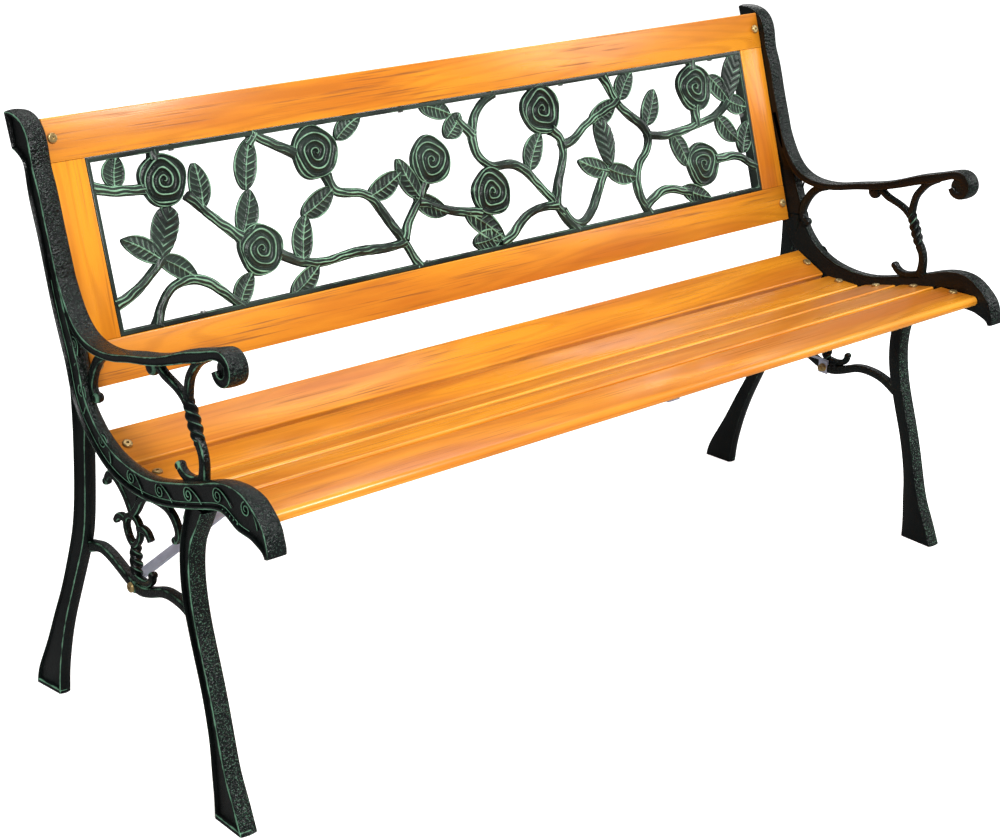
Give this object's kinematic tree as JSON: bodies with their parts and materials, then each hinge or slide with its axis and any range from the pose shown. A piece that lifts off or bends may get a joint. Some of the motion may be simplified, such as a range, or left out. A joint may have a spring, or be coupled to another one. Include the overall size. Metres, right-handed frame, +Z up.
{
  "type": "garden bench",
  "caption": "Slatted hardwood garden bench with cast iron scroll end frames, curved armrests and a cast openwork panel of climbing roses in the framed back.",
  "frame": {"origin": "on the floor under the middle of the bench", "axes": "+X along the bench, towards the sitter's left hand, +Y towards the back, +Z up"},
  "size_m": [1.27, 0.5245, 0.7486],
  "materials": {
    "end_frame_iron": "black enamel over a hammered casting, raised rims dry-brushed pale green",
    "varnished_hardwood": "honey coloured gloss varnish over straight-grained hardwood",
    "rose_panel_iron": "charcoal enamel with pale green dry-brushed relief",
    "zinc_flat_steel": "bright zinc",
    "yellow_zinc_fixings": "yellow zinc plate",
    "zinc_screws": "zinc plate",
    "dowel_beech": "bare beech"
  },
  "bodies": {
    "root": {"left_end_frame": "end_frame_iron", "right_end_frame": "end_frame_iron", "seat_slat_back": "varnished_hardwood", "seat_slat_second": "varnished_hardwood", "seat_slat_middle": "varnished_hardwood", "seat_slat_fourth": "varnished_hardwood", "seat_slat_front": "varnished_hardwood", "back_top_rail": "varnished_hardwood", "back_bottom_rail": "varnished_hardwood", "back_left_stile": "varnished_hardwood", "back_right_stile": "varnished_hardwood", "rose_panel": "rose_panel_iron", "left_brace": "zinc_flat_steel", "right_brace": "zinc_flat_steel", "seat_centre_strip": "zinc_flat_steel", "left_seat_bolts": "yellow_zinc_fixings", "right_seat_bolts": "yellow_zinc_fixings", "left_back_bolts": "yellow_zinc_fixings", "right_back_bolts": "yellow_zinc_fixings", "brace_bolts": "yellow_zinc_fixings", "left_seat_washers": "yellow_zinc_fixings", "right_seat_washers": "yellow_zinc_fixings", "left_back_washers": "yellow_zinc_fixings", "right_back_washers": "yellow_zinc_fixings", "brace_washers": "yellow_zinc_fixings", "left_seat_nuts": "yellow_zinc_fixings", "right_seat_nuts": "yellow_zinc_fixings", "left_back_nuts": "yellow_zinc_fixings", "right_back_nuts": "yellow_zinc_fixings", "brace_nuts": "yellow_zinc_fixings", "strip_screws": "zinc_screws", "panel_screws": "zinc_screws", "brace_screws": "zinc_screws", "stile_dowels": "dowel_beech"}
  },
  "joints": []
}
